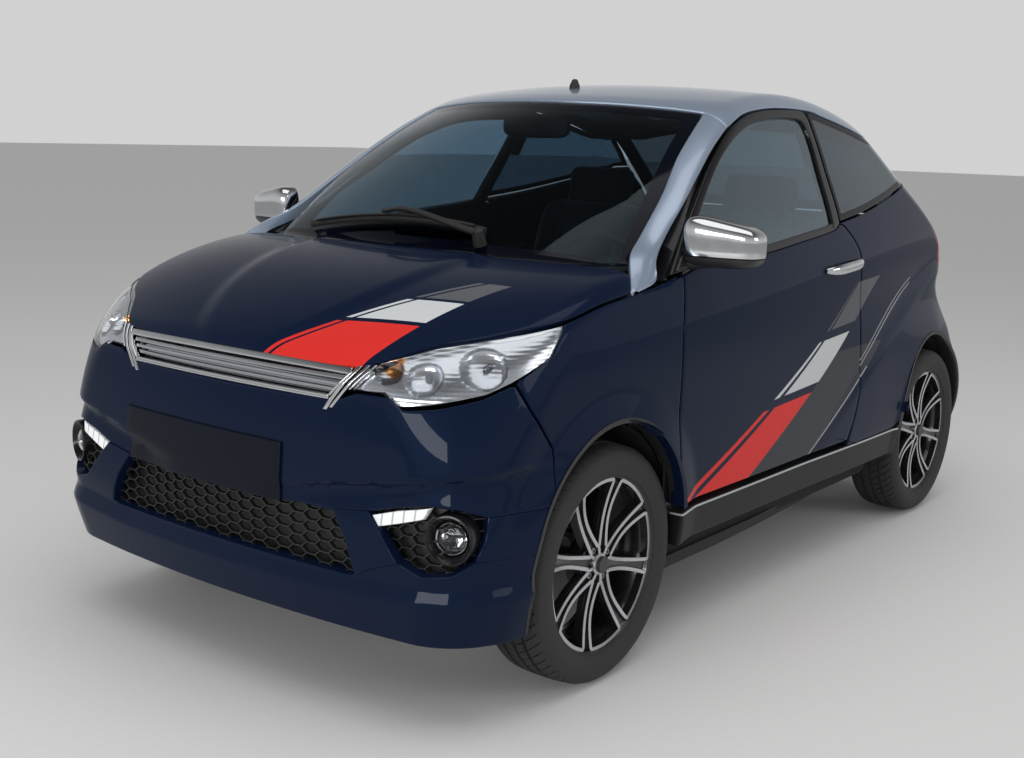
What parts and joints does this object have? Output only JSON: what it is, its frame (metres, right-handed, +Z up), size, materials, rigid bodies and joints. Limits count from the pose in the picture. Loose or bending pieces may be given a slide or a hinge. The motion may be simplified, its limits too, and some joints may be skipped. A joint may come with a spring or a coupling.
{
  "type": "microcar",
  "caption": "Small two-seat city car with swinging doors, lifting hood and tailgate, steered front wheels and rolling alloy wheels.",
  "frame": {"origin": "on the ground under the middle of the car, halfway between the front and rear bumpers", "axes": "+Z up, the front faces -Y and the car's own left side is +X"},
  "size_m": [1.748, 2.99, 1.45],
  "materials": {
    "body_paint": "glossy deep navy metallic lacquer",
    "roof_paint": "glossy silver grey lacquer",
    "window_glass": "clear, faintly grey",
    "tinted_glass": "dark grey privacy tint",
    "lamp_clear": "clear lens over bright reflectors",
    "lamp_red": "red and clear lens",
    "black_plastic": "grained black",
    "bright_trim": "bright plated",
    "chassis_metal": "black chassis paint",
    "engine_metal": "raw casting",
    "seat_cloth": "dark woven cloth",
    "wheel_alloy": "gloss black with machined faces",
    "tyre": "black rubber"
  },
  "bodies": {
    "body": {"floor_pan": "chassis_metal", "engine": "engine_metal", "dashboard": "black_plastic", "seats": "seat_cloth", "front_bumper": "body_paint", "lower_grille": "black_plastic", "upper_grille": "bright_trim", "headlamps": "lamp_clear", "fog_lamps": "lamp_clear", "fenders": "body_paint", "cowl": "black_plastic", "windscreen": "window_glass", "wiper": "black_plastic", "roof": "roof_paint", "sills": "black_plastic", "rear_quarters": "body_paint", "quarter_glasses": "tinted_glass", "rear_bumper": "body_paint", "tail_lamps": "lamp_red", "antenna": "black_plastic", "front_suspension": "chassis_metal", "rear_suspension": "chassis_metal"},
    "steering_wheel": {"steering_wheel": "black_plastic"},
    "hood": {"hood": "body_paint"},
    "tailgate": {"tailgate": "body_paint", "tailgate_glass": "tinted_glass"},
    "door_left": {"door_left": "body_paint", "door_glass_left": "window_glass", "mirror_left": "bright_trim", "handle_left": "bright_trim"},
    "knuckle_left": {"knuckle_left": "chassis_metal"},
    "wheel_front_left": {"rim_front_left": "wheel_alloy", "tyre_front_left": "tyre"},
    "wheel_rear_left": {"rim_rear_left": "wheel_alloy", "tyre_rear_left": "tyre"},
    "door_right": {"door_right": "body_paint", "door_glass_right": "window_glass", "mirror_right": "bright_trim", "handle_right": "bright_trim"},
    "knuckle_right": {"knuckle_right": "chassis_metal"},
    "wheel_front_right": {"rim_front_right": "wheel_alloy", "tyre_front_right": "tyre"},
    "wheel_rear_right": {"rim_rear_right": "wheel_alloy", "tyre_rear_right": "tyre"}
  },
  "joints": [
    {"name": "hood_hinge", "type": "hinge", "parent": "body", "child": "hood", "pos_m": [0, -0.795, 1.005], "axis": [-1, 0, 0], "range_deg": [0, 50]},
    {"name": "tailgate_hinge", "type": "hinge", "parent": "body", "child": "tailgate", "pos_m": [0, 0.868, 1.352], "axis": [1, 0, 0], "range_deg": [0, 75]},
    {"name": "door_left_hinge", "type": "hinge", "parent": "body", "child": "door_left", "pos_m": [0.742, -0.69, 0.6], "axis": [0, 0, -1], "range_deg": [0, 65]},
    {"name": "door_right_hinge", "type": "hinge", "parent": "body", "child": "door_right", "pos_m": [-0.742, -0.69, 0.6], "axis": [0, 0, 1], "range_deg": [0, 65]},
    {"name": "steer_left", "type": "hinge", "parent": "body", "child": "knuckle_left", "pos_m": [0.6, -0.935, 0.286], "axis": [0, 0, 1], "range_deg": [-30, 30]},
    {"name": "steer_right", "type": "hinge", "parent": "body", "child": "knuckle_right", "pos_m": [-0.6, -0.935, 0.286], "axis": [0, 0, 1], "range_deg": [-30, 30]},
    {"name": "wheel_front_left_spin", "type": "hinge", "parent": "knuckle_left", "child": "wheel_front_left", "pos_m": [0.64, -0.935, 0.286], "axis": [1, 0, 0], "continuous": true},
    {"name": "wheel_rear_left_spin", "type": "hinge", "parent": "body", "child": "wheel_rear_left", "pos_m": [0.64, 1.065, 0.286], "axis": [1, 0, 0], "continuous": true},
    {"name": "wheel_front_right_spin", "type": "hinge", "parent": "knuckle_right", "child": "wheel_front_right", "pos_m": [-0.64, -0.935, 0.286], "axis": [1, 0, 0], "continuous": true},
    {"name": "wheel_rear_right_spin", "type": "hinge", "parent": "body", "child": "wheel_rear_right", "pos_m": [-0.64, 1.065, 0.286], "axis": [1, 0, 0], "continuous": true},
    {"name": "steering_wheel_turn", "type": "hinge", "parent": "body", "child": "steering_wheel", "pos_m": [0.31, -0.33, 0.85], "axis": [0, 0.8821, 0.4711], "range_deg": [-450, 450]}
  ],
  "couplings": [
    {"joint": "steer_right", "follows": "steer_left", "ratio": 1},
    {"joint": "steering_wheel_turn", "follows": "steer_left", "ratio": 15}
  ]
}
